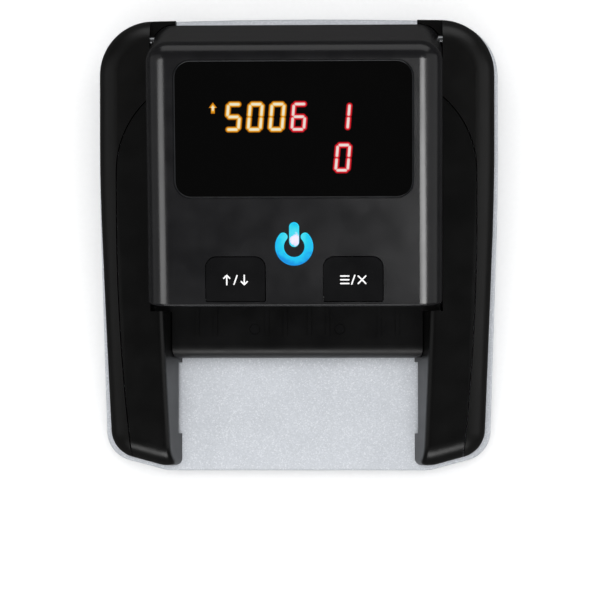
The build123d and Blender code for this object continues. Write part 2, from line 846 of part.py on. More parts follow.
with BuildPart() as usb_port:
    with BuildSketch(Plane.XZ.offset(-62.5)):
        with Locations((usb_x, usb_z)):
            RectangleRounded(8.0, 3.9, 0.9)
    extrude(amount=-7.4)
    with BuildSketch(Plane.XZ.offset(-64)):
        with Locations((usb_x, usb_z)):
            RectangleRounded(7.2, 3.1, 0.6)
            Rectangle(5.4, 0.9, mode=Mode.SUBTRACT)
    extrude(amount=-10, mode=Mode.SUBTRACT)
    with Locations((usb_x, 64.4, usb_z - 1.95 - 0.8)):
        Box(9, 4, 1.6)
save(usb_port, "usb_port")

with BuildPart() as battery_pack:
    with BuildSketch(Plane.YZ.offset(battery_x0 + 0.8)):
        with Locations((bay_y - 6.1, 10.3), (bay_y + 6.1, 10.3)):
            Circle(5.7)
        with Locations((bay_y, 7.4)):
            Rectangle(12.2, 5.6)
    extrude(amount=bay_len - 1.6)
save(battery_pack, "battery_pack")

with BuildPart() as magnetic_head:
    with Locations((0, front_shaft_y, 18.9)):
        Box(8.6, 6.6, 3.6)
    fillet(magnetic_head.faces().sort_by(Axis.Z)[-1].edges().filter_by(Axis.X), 1.6)
save(magnetic_head, "magnetic_head")

with BuildPart() as entry_sensors:
    with BuildSketch(Plane.XY.offset(path_z - 4.6)):
        with Locations(*entry_xy):
            Circle(2.4)
    extrude(amount=4.6 - plate_t)
    with BuildSketch(Plane.XY.offset(path_z - plate_t)):
        with Locations(*entry_xy):
            Circle(1.6)
    extrude(amount=plate_t - 0.1)
save(entry_sensors, "entry_sensors")

sensor_half_w = 40.0
with BuildPart() as lower_sensor_window:
    with Locations((0, sensor_y, path_z - 0.65)):
        Box(2 * sensor_half_w, 10, 1.2)
save(lower_sensor_window, "lower_sensor_window")

with BuildPart() as lower_sensor_bar:
    with Locations((0, sensor_y, path_z - 1.25 - 3)):
        Box(2 * sensor_half_w - 1, 9, 6)
save(lower_sensor_bar, "lower_sensor_bar")

with BuildPart() as chassis_screws:
    for x, y in chassis_legs:
        add(screw(x, y, case_bottom_z + leg_recess_h, 10, head_h=0.9))
save(chassis_screws, "chassis_screws")

# ---- head ---------------------------------------------------------------------------------------
panel_tilt = atan2(head_top_z - head_front_z, head_ridge_y - head_front_y)
panel_plane = Plane(
    origin=(0, head_front_y, head_front_z),
    x_dir=(1, 0, 0),
    z_dir=(0, -sin(panel_tilt), cos(panel_tilt)),
)
ridge_radius = 5.5
front_edge_radius = 0.8
window_w = 76.3
window_h = 43.9
window_v = 56.7
window_corner = 5.5
key_w = 18.8
key_h = 14.2
key_x = 18.8
key_v = 8.8
key_top_corner = 3.3
power_v = 19.2
ring_outer = 6.0
ring_inner = 3.4
ring_gap = radians(48)
stroke_w = 3.0
stroke_len = 7.8
key_gap = 0.3
head_post_r = 3.0
head_posts = [(-39.5, -7), (39.5, -7), (-36, 60.5), (36, 60.5)]
cup_top_z = 26.0


def head_form(inset=0.0):
    """Outside shape of the head, or the same shape with every wall moved inwards by inset."""
    half = head_half_w - inset
    with BuildPart() as form:
        with BuildSketch(Plane.YZ):
            with BuildLine():
                Polyline(
                    (head_rear_y, head_bottom_z),
                    (head_rear_y, head_rear_break_z),
                    (head_ridge_y, head_top_z),
                    (head_front_y, head_front_z),
                    (head_lip_y, head_lip_z),
                    (head_lip_y + 3.6, head_bottom_z),
                    close=True,
                )
            make_face()
            if inset:
                offset(amount=-inset, kind=Kind.INTERSECTION)
        extrude(amount=half, both=True)
        long_edges = form.edges().filter_by(
            lambda e: abs(e.center().X) > half - 0.1
            and e.center().Y > -10
            and e.center().Z > head_bottom_z + inset + 1
        )
        fillet(long_edges, head_side_radius - inset)
        ridge = form.edges().filter_by(
            lambda e: abs(e.center().X) < 1
            and abs(e.center().Y - head_ridge_y) < 2 + inset
            and e.center().Z > 50
        )
        fillet(ridge, ridge_radius - inset)
    return form.part


def power_symbol(grow=0.0):
    """Broken ring with an upright stroke in its gap."""
    middle = (ring_outer + ring_inner) / 2
    reach = 9.0
    with BuildSketch(mode=Mode.PRIVATE) as sign:
        Circle(ring_outer + grow)
        Circle(ring_inner - grow, mode=Mode.SUBTRACT)
        Polygon(
            (0, 0), (reach * tan(ring_gap), reach), (-reach * tan(ring_gap), reach),
            align=None, mode=Mode.SUBTRACT,
        )
        for side in (-1, 1):
            with Locations((side * middle * sin(ring_gap), middle * cos(ring_gap))):
                Circle((ring_outer - ring_inner) / 2 + grow)
        with Locations((0, stroke_len / 2)):
            SlotOverall(stroke_len + 2 * grow, stroke_w + 2 * grow, rotation=90)
    return sign.sketch


def key_outline(side, grow=0.0):
    """One key: rounded at its upper corners only."""
    with BuildSketch(mode=Mode.PRIVATE) as outline:
        with Locations((side * key_x, key_v)):
            Rectangle(key_w + 2 * grow, key_h + 2 * grow)
        fillet(outline.vertices().group_by(Axis.Y)[-1], key_top_corner + grow)
        fillet(outline.vertices().group_by(Axis.Y)[0], 0.5 + grow)
    return outline.sketch


with BuildPart() as head_cavity:
    add(head_form(head_wall))
    extrude(head_cavity.faces().sort_by(Axis.Z)[0], amount=6)
    with BuildSketch(Plane.XY.offset(cup_top_z)):
        with Locations(*head_posts):
            Circle(head_post_r)
    extrude(amount=50, mode=Mode.SUBTRACT)
    for side in (-1, 1):
        with BuildSketch(Plane.YZ.offset(side * 41.6)):
            with Locations((hinge_y, hinge_z)):
                Circle(3.0)
        extrude(amount=side * 8, mode=Mode.SUBTRACT)

with BuildPart() as head_cover:
    add(head_form())
    front_outline = (
        head_cover.faces().sort_by(Axis.Y)[0].edges().filter_by(lambda e: e.center().Z > head_lip_z + 1)
    )
    fillet(front_outline, front_edge_radius)
    add(head_cavity.part, mode=Mode.SUBTRACT)
    with BuildSketch(panel_plane.offset(-8)):
        with Locations((0, window_v)):
            RectangleRounded(window_w + 0.2, window_h + 0.2, window_corner + 0.1)
        add(key_outline(-1, key_gap))
        add(key_outline(1, key_gap))
        with Locations((0, power_v)):
            add(power_symbol(0.12))
    extrude(amount=12, mode=Mode.SUBTRACT)
    with BuildSketch(Plane.XY.offset(cup_top_z - 1)):
        with Locations(*head_posts):
            Circle(screw_r)
    extrude(amount=10, mode=Mode.SUBTRACT)
    for side in (-1, 1):
        with BuildSketch(Plane.YZ.offset(side * 40)):
            with Locations((hinge_y, hinge_z)):
                Circle(hinge_pin_r + run_fit)
        extrude(amount=side * 10, mode=Mode.SUBTRACT)
save(head_cover, "head_cover")

with BuildPart() as hinge_pins:
    add(rod(hinge_y, hinge_z, hinge_pin_r, -bay_half_w - 4.6, -42.4))
    add(rod(hinge_y, hinge_z, hinge_pin_r, 42.4, bay_half_w + 4.6))
save(hinge_pins, "hinge_pins")

with BuildPart() as display_window:
    with BuildSketch(panel_plane.offset(-0.1)):
        with Locations((0, window_v)):
            RectangleRounded(window_w, window_h, window_corner)
    extrude(amount=-1.9)
    with BuildSketch(panel_plane.offset(-head_wall)):
        with Locations((0, window_v)):
            RectangleRounded(window_w + 1.8, window_h + 1.8, window_corner + 0.9)
    extrude(amount=-1.0)
save(display_window, "display_window")

board_depth = 6.6
with BuildPart() as display_pcb:
    with BuildSketch(panel_plane.offset(-board_depth)):
        with Locations((0, 52.5)):
            RectangleRounded(82, 52, 2)
        with Locations((0, 19)):
            Rectangle(66, 26)
    extrude(amount=-1.6)
save(display_pcb, "display_pcb")

with BuildPart() as led_digit_module:
    with BuildSketch(panel_plane.offset(-3.3)):
        with Locations((0, window_v - 1)):
            RectangleRounded(64, 34, 1)
    extrude(amount=3.3 - board_depth)
save(led_digit_module, "led_digit_module")

with BuildPart() as tact_switches:
    with BuildSketch(panel_plane.offset(-4.9)):
        with Locations((-key_x, key_v + 3), (key_x, key_v + 3), (0, power_v + 6.5)):
            Rectangle(6, 6)
    extrude(amount=4.9 - board_depth)
    with BuildSketch(panel_plane.offset(-4.3)):
        with Locations((-key_x, key_v + 3), (key_x, key_v + 3), (0, power_v + 6.5)):
            Circle(1.7)
    extrude(amount=-0.6)
save(tact_switches, "tact_switches")

with BuildPart() as power_led:
    with BuildSketch(panel_plane.offset(-4.4)):
        with Locations((0, power_v - 2.6)):
            Circle(1.5)
    extrude(amount=4.4 - board_depth)
save(power_led, "power_led")


def key(side):
    """Key cap with a hidden flange that stops it under the panel."""
    with BuildPart(mode=Mode.PRIVATE) as made:
        with BuildSketch(panel_plane.offset(0.15)):
            add(key_outline(side))
        extrude(amount=-3.0)
        with BuildSketch(panel_plane.offset(-head_wall - 0.3)):
            with Locations((side * key_x, key_v + 0.9)):
                Rectangle(key_w + 2.4, key_h - 0.8)
        extrude(amount=-1.1)
    return made.part


with BuildPart() as left_key:
    add(key(-1))
save(left_key, "left_key")

with BuildPart() as right_key:
    add(key(1))
save(right_key, "right_key")

with BuildPart() as power_button:
    with BuildSketch(panel_plane.offset(0.1)):
        with Locations((0, power_v)):
            add(power_symbol())
    extrude(amount=-2.6)
    with BuildSketch(panel_plane.offset(-head_wall - 0.3)):
        with Locations((0, power_v + 1)):
            Circle(8.4)
    extrude(amount=-1.0)
save(power_button, "power_button")

# ---- upper note guide and what it carries -------------------------------------------------------
upper_z = path_z + path_gap
upper_t = 1.6
upper_y0, upper_y1 = -13.6, 67.4
pinch_axle_r = 1.0
pinch_half = 28.6
with BuildPart() as upper_guide:
    with BuildSketch(Plane.XY.offset(upper_z)):
        with Locations((0, (upper_y0 + upper_y1) / 2)):
            RectangleRounded(90.2, upper_y1 - upper_y0, 5.0)
    extrude(amount=upper_t)
    with BuildSketch(Plane.XY.offset(upper_z)):
        with Locations(*head_posts):
            Circle(3.8)
    extrude(amount=cup_top_z - upper_z)
    with BuildSketch(Plane.XY.offset(upper_z)):
        with Locations(*head_posts):
            Circle(screw_head_r + 0.2)
    extrude(amount=cup_top_z - upper_z - 1.4, mode=Mode.SUBTRACT)
    with BuildSketch(Plane.XY.offset(upper_z)):
        with Locations(*head_posts):
            Circle(screw_r + 0.1)
    extrude(amount=8, mode=Mode.SUBTRACT)
    # axle brackets
    for y in (front_shaft_y, rear_shaft_y):
        for x in (-pinch_half + 1.6, pinch_half - 1.6):
            with Locations((x, y, upper_z + 3)):
                Box(1.8, 5, 6)
    for y in (front_shaft_y, rear_shaft_y):
        for x in (-roller_x, roller_x):
            with Locations((x, y, upper_z)):
                Box(roller_w + 0.6, 10.4, 6, mode=Mode.SUBTRACT)
    with Locations((0, sensor_y, upper_z)):
        Box(2 * sensor_half_w + 0.4, 10.4, 6, mode=Mode.SUBTRACT)
    with BuildSketch(Plane.YZ.offset(-35)):
        with Locations((front_shaft_y, pinch_z), (rear_shaft_y, pinch_z)):
            Circle(pinch_axle_r + run_fit)
    extrude(amount=70, mode=Mode.SUBTRACT)
save(upper_guide, "upper_guide")

with BuildPart() as upper_sensor_window:
    with Locations((0, sensor_y, upper_z + 0.65)):
        Box(2 * sensor_half_w, 10, 1.2)
save(upper_sensor_window, "upper_sensor_window")

with BuildPart() as upper_sensor_bar:
    with Locations((0, sensor_y, upper_z + 1.25 + 3)):
        Box(2 * sensor_half_w - 1, 9, 6)
save(upper_sensor_bar, "upper_sensor_bar")

with BuildPart() as head_screws:
    for x, y in head_posts:
        add(screw(x, y, cup_top_z - 1.4, 9))
save(head_screws, "head_screws")


def pinch_pair(y):
    """Two free-running rollers on one axle in the head."""
    with BuildPart(mode=Mode.PRIVATE) as made:
        for x in (-roller_x, roller_x):
            add(tube(y, pinch_z, pinch_r, pinch_axle_r, x - roller_w / 2 + 0.5, x + roller_w / 2 - 0.5))
        rims = made.edges().filter_by(GeomType.CIRCLE).filter_by(lambda e: e.radius > pinch_r - 0.1)
        fillet(rims, 0.4)
    return made.part


with BuildPart() as front_pinch_rollers:
    add(pinch_pair(front_shaft_y))
save(front_pinch_rollers, "front_pinch_rollers")

with BuildPart() as rear_pinch_rollers:
    add(pinch_pair(rear_shaft_y))
save(rear_pinch_rollers, "rear_pinch_rollers")

with BuildPart() as front_pinch_axle:
    add(rod(front_shaft_y, pinch_z, pinch_axle_r, -pinch_half, pinch_half))
save(front_pinch_axle, "front_pinch_axle")

with BuildPart() as rear_pinch_axle:
    add(rod(rear_shaft_y, pinch_z, pinch_axle_r, -pinch_half, pinch_half))
save(rear_pinch_axle, "rear_pinch_axle")

spring_z = pinch_z + pinch_axle_r + 0.35
spring_t = 0.4
with BuildPart() as pinch_springs:
    for y in (front_shaft_y, rear_shaft_y):
        with BuildSketch(Plane.YZ):
            with BuildLine():
                Polyline(
                    (y + 10, upper_z + upper_t),
                    (y + 6, upper_z + upper_t),
                    (y + 2.5, spring_z),
                    (y - 2, spring_z),
                    (y - 2, spring_z + spring_t),
                    (y + 2.7, spring_z + spring_t),
                    (y + 6.2, upper_z + upper_t + spring_t),
                    (y + 10, upper_z + upper_t + spring_t),
                    close=True,
                )
            make_face()
        extrude(amount=2.5, both=True)
save(pinch_springs, "pinch_springs")
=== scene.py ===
import json
import math

import bpy
import numpy as np
from mathutils import Matrix, Vector


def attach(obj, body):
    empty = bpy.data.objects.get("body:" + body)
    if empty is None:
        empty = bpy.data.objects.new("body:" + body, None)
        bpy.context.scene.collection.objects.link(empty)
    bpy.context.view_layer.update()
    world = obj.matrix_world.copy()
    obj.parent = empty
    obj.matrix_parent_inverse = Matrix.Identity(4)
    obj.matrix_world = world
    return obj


bl_info = {
    "name": "Banknote Detector Finisher",
    "version": (1, 0, 0),
    "blender": (4, 5, 0),
    "location": "View3D > Sidebar > Detector",
    "description": "Gives the packed banknote detector its finishes, key marks and lit display, and its stage",
    "category": "Object",
}

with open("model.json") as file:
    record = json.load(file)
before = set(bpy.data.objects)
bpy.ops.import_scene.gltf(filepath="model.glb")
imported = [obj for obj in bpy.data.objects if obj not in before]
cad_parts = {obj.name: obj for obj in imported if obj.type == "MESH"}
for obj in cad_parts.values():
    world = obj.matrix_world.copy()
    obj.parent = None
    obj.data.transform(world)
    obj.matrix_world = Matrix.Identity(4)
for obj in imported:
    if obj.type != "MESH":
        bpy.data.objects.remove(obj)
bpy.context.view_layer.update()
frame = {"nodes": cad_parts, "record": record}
MM = 0.001

# ---------------------------------------------------------------- places on the sloping panel
# (y, z) of the panel's front edge and of its ridge in the head's side profile, millimetres
PANEL_FRONT = (-22.8, 47.2)
PANEL_RIDGE = (59.5, 62.5)
PANEL_TILT = math.atan2(PANEL_RIDGE[1] - PANEL_FRONT[1], PANEL_RIDGE[0] - PANEL_FRONT[0])
PANEL_ORIGIN = np.array((0.0, *PANEL_FRONT)) * MM
PANEL_U = np.array((1.0, 0.0, 0.0))
PANEL_V = np.array((0.0, math.cos(PANEL_TILT), math.sin(PANEL_TILT)))
PANEL_N = np.array((0.0, -math.sin(PANEL_TILT), math.cos(PANEL_TILT)))

# Distances up the slope from the front edge, and sizes in the panel's plane, millimetres
KEY_MARK_V = 8.6
LAMP_V = 21.6
LAMP_REACH = 8.5
LOWER_DIGIT_V = 47.6
WINDOW_V = 56.7
UPPER_DIGIT_V = 60.65
ARROW_V = 63.5
ARROW_X = -25.5
ARROW_SIZE = (2.6, 3.6)
FIRST_DIGIT_X = -19.0
DIGIT_SLANT = 0.09
WINDOW_SIZE = (76.3, 43.9)
WINDOW_CORNER = 5.5
WINDOW_CLEARANCE = 0.02

# Heights over the panel's plane, millimetres: the digits glow just under it, the ink lies on the domed keys
DIGIT_LIFT = -0.07
INK_LIFT = 0.16
INK_STEP = 0.002
BAR_CROWN = 0.05


def on_panel(points, lift):
    """Places (n, 2) millimetres across and up the slope on the panel, lift millimetres above it."""
    points = np.asarray(points, float)
    lift = np.broadcast_to(np.asarray(lift, float), points.shape[:1])
    return (
        PANEL_ORIGIN
        + points[:, :1] * MM * PANEL_U
        + points[:, 1:2] * MM * PANEL_V
        + lift[:, None] * MM * PANEL_N
    )


# ---------------------------------------------------------------- meshes from arrays
def make_piece(name, verts, faces, material, body, attribute=None, smooth=True):
    """One new piece from an array of points and blocks of faces, riding on a body."""
    mesh = bpy.data.meshes.new(name)
    mesh.from_pydata(verts.tolist(), [], [face for block in faces for face in block.tolist()])
    mesh.polygons.foreach_set("use_smooth", [smooth] * len(mesh.polygons))
    if attribute is not None:
        layer = mesh.attributes.new("glow", "FLOAT", "POINT")
        layer.data.foreach_set("value", np.asarray(attribute, np.float32))
    mesh.materials.append(material)
    mesh.update()
    piece = bpy.data.objects.new(name, mesh)
    bpy.context.scene.collection.objects.link(piece)
    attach(piece, body)
    return piece


def fan_faces(around, rings):
    """Blocks of triangles and quads for a centre point inside concentric rings of the same count."""
    i = np.arange(around)
    j = (i + 1) % around
    centre = np.stack([np.zeros(around, int), 1 + i, 1 + j], axis=1)
    inner = 1 + np.arange(rings - 1)[:, None] * around
    outer = inner + around
    bands = np.stack([inner + i, outer + i, outer + j, inner + j], axis=2)
    return centre, bands.reshape(-1, 4)


def lozenge(start, end, radius, rings=7, around=40, height=BAR_CROWN):
    """A long rounded patch: every ring is the outline of a stadium shrunk towards its middle line, and the
    height falls as one minus the square of the distance from that line. Returns points, lift, edge, faces."""
    start, end = np.asarray(start, float), np.asarray(end, float)
    axis = end - start
    length = np.linalg.norm(axis)
    along = axis / length
    across = np.array((-along[1], along[0]))
    turn = np.linspace(0, 2 * math.pi, around, endpoint=False) + math.pi / around
    grow = np.linspace(1 / rings, 1, rings)
    side = np.sign(np.cos(turn))[None, :] * length / 2
    # the ends reach full length by a third of the way out, so the bright middle is a line and not a dot
    run = side * np.minimum(1, grow[:, None] * 3) + grow[:, None] * radius * np.cos(turn)[None, :]
    off = grow[:, None] * radius * np.sin(turn)[None, :]
    middle = (start + end) / 2
    points = middle + run.reshape(-1, 1) * along + off.reshape(-1, 1) * across
    points = np.vstack([middle, points])
    edge = np.concatenate([[0.0], np.repeat(grow, around)])
    return points, height * (1 - edge**2), edge, fan_faces(around, rings)


def join_patches(patches):
    """Stacks several (points, lift, edge, faces) patches into one."""
    points, lift, edge, faces = zip(*patches)
    first = np.concatenate([[0], np.cumsum([len(p) for p in points])])
    blocks = [block + base for pair, base in zip(faces, first) for block in pair]
    return np.vstack(points), np.concatenate(lift), np.concatenate(edge), blocks


def rounded_box_outline(width, height, corner, steps=12):
    """Outline of a rectangle with round corners: four quarter circles joined by straight sides."""
    quarter = np.linspace(0, math.pi / 2, steps)
    loops = []
    for k, (sx, sy) in enumerate(((1, 1), (-1, 1), (-1, -1), (1, -1))):
        centre = np.array((sx * (width / 2 - corner), sy * (height / 2 - corner)))
        turn = quarter + k * math.pi / 2
        loops.append(centre + corner * np.stack([np.cos(turn), np.sin(turn)], axis=1))
    return np.vstack(loops)


# ---------------------------------------------------------------- materials
# Noise stays mostly between these two values, so they are stretched to the range that is wanted
NOISE_SPAN = {"From Min": 0.3, "From Max": 0.7}


def linear(hex_colour):
    """sRGB hex such as '#1a2b3c' to a linear colour with full alpha."""
    h = hex_colour.lstrip("#")
    c = np.array([int(h[i : i + 2], 16) / 255 for i in (0, 2, 4)])
    c = np.where(c <= 0.04045, c / 12.92, ((c + 0.055) / 1.055) ** 2.4)
    return (float(c[0]), float(c[1]), float(c[2]), 1.0)


def node(tree, kind, values=None, links=None, stops=(), **settings):
    """Adds a node, sets its settings, socket values and colour stops, and links its sockets."""
    made = tree.nodes.new(kind)
    for key, value in settings.items():
        setattr(made, key, value)
    for key, value in (values or {}).items():
        made.inputs[key].default_value = value
    for key, source in (links or {}).items():
        tree.links.new(source, made.inputs[key])
    if stops:
        points = made.color_ramp.elements
        while len(points) < len(stops):
            points.new(0.5)
        for point, (position, colour) in zip(points, stops):
            point.position = position
            point.color = colour
    return made


def new_material(name):
    """An empty node material with its output, and the object coordinates every pattern starts from."""
    material = bpy.data.materials.new(name)
    material.use_nodes = True
    tree = material.node_tree
    tree.nodes.clear()
    out = node(tree, "ShaderNodeOutputMaterial")
    where = node(tree, "ShaderNodeTexCoord").outputs["Object"]
    return material, tree, out, where


def moulded(name, dark, light, roughness, grain_mm, depth_mm, cloud_mm=9.0, ior=1.53):
    """Injection-moulded plastic: fine tool texture in the bump, and a slow drift in colour and gloss.
    The real spark-eroded grain is about 0.05 mm, too fine to show, so grain_mm is drawn coarser than that."""
    material, tree, out, where = new_material(name)
    grain = node(
        tree, "ShaderNodeTexNoise",
        values={"Scale": 1 / (grain_mm * MM), "Detail": 3.0, "Roughness": 0.6}, links={"Vector": where},
    ).outputs["Fac"]
    cloud = node(
        tree, "ShaderNodeTexNoise",
        values={"Scale": 1 / (cloud_mm * MM), "Detail": 2.0}, links={"Vector": where},
    ).outputs["Fac"]
    colour = node(
        tree, "ShaderNodeValToRGB", links={"Fac": cloud}, stops=[(0.35, linear(dark)), (0.65, linear(light))]
    ).outputs["Color"]
    gloss = node(
        tree, "ShaderNodeMapRange",
        values={**NOISE_SPAN, "To Min": roughness[0], "To Max": roughness[1]}, links={"Value": cloud},
    ).outputs["Result"]
    bump = node(
        tree, "ShaderNodeBump", values={"Strength": 0.5, "Distance": depth_mm * MM}, links={"Height": grain}
    ).outputs["Normal"]
    shader = node(
        tree, "ShaderNodeBsdfPrincipled",
        values={"IOR": ior}, links={"Base Color": colour, "Roughness": gloss, "Normal": bump},
    )
    tree.links.new(shader.outputs["BSDF"], out.inputs["Surface"])
    return material


def silver_paint(name):
    """Silver lacquer over ABS: small bright flakes in a grey binder, satin, seen as a faint sparkle. The real
    flakes are about 0.05 mm, so they are drawn at 0.35 mm to show."""
    material, tree, out, where = new_material(name)
    flakes = node(
        tree, "ShaderNodeTexVoronoi", values={"Scale": 1 / (0.35 * MM)}, links={"Vector": where}
    ).outputs["Color"]
    level = node(tree, "ShaderNodeSeparateColor", links={"Color": flakes}).outputs["Red"]
    cloud = node(
        tree, "ShaderNodeTexNoise", values={"Scale": 1 / (14 * MM), "Detail": 2.0}, links={"Vector": where}
    ).outputs["Fac"]
    colour = node(
        tree, "ShaderNodeValToRGB", links={"Fac": level},
        stops=[(0.0, linear("#bcc0c6")), (0.8, linear("#c8ccd2")), (1.0, linear("#d8dbe0"))],
    ).outputs["Color"]
    gloss = node(
        tree, "ShaderNodeMapRange",
        values={**NOISE_SPAN, "To Min": 0.36, "To Max": 0.46}, links={"Value": cloud},
    ).outputs["Result"]
    bump = node(
        tree, "ShaderNodeBump", values={"Strength": 0.25, "Distance": 0.01 * MM}, links={"Height": level}
    ).outputs["Normal"]
    shader = node(
        tree, "ShaderNodeBsdfPrincipled",
        values={"Metallic": 0.2, "IOR": 1.5}, links={"Base Color": colour, "Roughness": gloss, "Normal": bump},
    )
    tree.links.new(shader.outputs["BSDF"], out.inputs["Surface"])
    return material


def metal(name, dark, light, roughness, line_mm, stretch, depth_mm=0.004):
    """Worked metal: fine tool lines drawn out along one direction, in colour, gloss and bump."""
    material, tree, out, where = new_material(name)
    mapped = node(
        tree, "ShaderNodeMapping", values={"Scale": stretch}, links={"Vector": where}
    ).outputs["Vector"]
    lines = node(
        tree, "ShaderNodeTexNoise",
        values={"Scale": 1 / (line_mm * MM), "Detail": 3.0}, links={"Vector": mapped},
    ).outputs["Fac"]
    colour = node(
        tree, "ShaderNodeValToRGB", links={"Fac": lines}, stops=[(0.3, linear(dark)), (0.7, linear(light))]
    ).outputs["Color"]
    gloss = node(
        tree, "ShaderNodeMapRange",
        values={**NOISE_SPAN, "To Min": roughness[0], "To Max": roughness[1]}, links={"Value": lines},
    ).outputs["Result"]
    bump = node(
        tree, "ShaderNodeBump", values={"Strength": 0.4, "Distance": depth_mm * MM}, links={"Height": lines}
    ).outputs["Normal"]
    shader = node(
        tree, "ShaderNodeBsdfPrincipled",
        values={"Metallic": 1.0}, links={"Base Color": colour, "Roughness": gloss, "Normal": bump},
    )
    tree.links.new(shader.outputs["BSDF"], out.inputs["Surface"])
    return material


def lit_digits(name, stops):
    """Light-emitting segments behind smoked acrylic: white-hot in the middle of each bar, coloured at its
    rim. The glow attribute runs from 0 on a bar's middle line to 1 at its rim, and a mottle shifts it."""
    material, tree, out, where = new_material(name)
    edge = node(tree, "ShaderNodeAttribute", attribute_name="glow").outputs["Fac"]
    mottle = node(
        tree, "ShaderNodeTexNoise", values={"Scale": 1 / (0.5 * MM), "Detail": 1.0}, links={"Vector": where}
    ).outputs["Fac"]
    shifted = node(
        tree, "ShaderNodeMath", operation="MULTIPLY_ADD", values={1: 0.06, 2: -0.03}, links={0: mottle}
    ).outputs["Value"]
    place = node(tree, "ShaderNodeMath", operation="ADD", links={0: edge, 1: shifted}).outputs["Value"]
    colour = node(tree, "ShaderNodeValToRGB", links={"Fac": place}, stops=stops).outputs["Color"]
    shader = node(
        tree, "ShaderNodeBsdfPrincipled",
        values={"Base Color": linear("#020202"), "Roughness": 0.07, "IOR": 1.49, "Emission Strength": 1.0},
        links={"Emission Color": colour},
    )
    tree.links.new(shader.outputs["BSDF"], out.inputs["Surface"])
    return material


def light_pipe(name):
    """Frosted polycarbonate light guide lit from below: pale pink where the lamp sits, clear blue away from
    it. The colour follows the distance from the lamp, broken up by the frost."""
    material, tree, out, where = new_material(name)
    lamp = PANEL_ORIGIN + PANEL_V * LAMP_V * MM
    apart = node(
        tree, "ShaderNodeVectorMath", operation="DISTANCE", values={1: tuple(lamp)}, links={0: where}
    ).outputs["Value"]
    far = node(
        tree, "ShaderNodeMapRange",
        values={"From Min": 0.0, "From Max": LAMP_REACH * MM, "To Min": 0.0, "To Max": 1.0},
        links={"Value": apart},
    ).outputs["Result"]
    frost = node(
        tree, "ShaderNodeTexNoise", values={"Scale": 1 / (2.2 * MM), "Detail": 3.0}, links={"Vector": where}
    ).outputs["Fac"]
    patches = node(
        tree, "ShaderNodeMapRange",
        values={"From Min": 0.42, "From Max": 0.62, "To Min": -0.03, "To Max": 0.14}, links={"Value": frost},
    ).outputs["Result"]
    place = node(tree, "ShaderNodeMath", operation="ADD", links={0: far, 1: patches}).outputs["Value"]
    colour = node(
        tree, "ShaderNodeValToRGB", links={"Fac": place},
        stops=[(0.0, linear("#f6f0fa")), (0.19, linear("#f0dcf0")), (0.27, linear("#4fd6e2")),
               (0.55, linear("#22c6dc")), (0.78, linear("#1fb4e2")), (1.0, linear("#1480cc"))],
    ).outputs["Color"]
    shader = node(
        tree, "ShaderNodeBsdfPrincipled",
        values={"Base Color": linear("#1b7fae"), "Roughness": 0.25, "IOR": 1.58, "Emission Strength": 1.0},
        links={"Emission Color": colour},
    )
    tree.links.new(shader.outputs["BSDF"], out.inputs["Surface"])
    return material


def circuit_board(name):
    """Solder mask over copper tracks: dark green with slightly lighter, straight-edged copper areas."""
    material, tree, out, where = new_material(name)
    tracks = node(
        tree, "ShaderNodeTexBrick",
        values={"Scale": 1 / (12 * MM), "Color1": linear("#0d4a22"), "Color2": linear("#125a2b"),
                "Mortar": linear("#0a3a1b"), "Mortar Size": 0.05},
        links={"Vector": where},
    ).outputs["Color"]
    speck = node(
        tree, "ShaderNodeTexNoise", values={"Scale": 1 / (0.6 * MM), "Detail": 2.0}, links={"Vector": where}
    ).outputs["Fac"]
    gloss = node(
        tree, "ShaderNodeMapRange",
        values={**NOISE_SPAN, "To Min": 0.25, "To Max": 0.4}, links={"Value": speck},
    ).outputs["Result"]
    shader = node(
        tree, "ShaderNodeBsdfPrincipled", values={"IOR": 1.5}, links={"Base Color": tracks, "Roughness": gloss}
    )
    tree.links.new(shader.outputs["BSDF"], out.inputs["Surface"])
    return material


def paper(name, colour):
    """Seamless studio paper: matt, with fibres that darken it a little."""
    material, tree, out, where = new_material(name)
    fibre = node(
        tree, "ShaderNodeTexNoise", values={"Scale": 1 / (1.5 * MM), "Detail": 2.0}, links={"Vector": where}
    ).outputs["Fac"]
    shade = tuple(c * 0.985 for c in colour)
    tone = node(
        tree, "ShaderNodeValToRGB", links={"Fac": fibre}, stops=[(0.3, (*shade, 1.0)), (0.7, (*colour, 1.0))]
    ).outputs["Color"]
    shader = node(
        tree, "ShaderNodeBsdfPrincipled", values={"Roughness": 0.9, "Specular IOR Level": 0.1},
        links={"Base Color": tone},
    )
    tree.links.new(shader.outputs["BSDF"], out.inputs["Surface"])
    return material


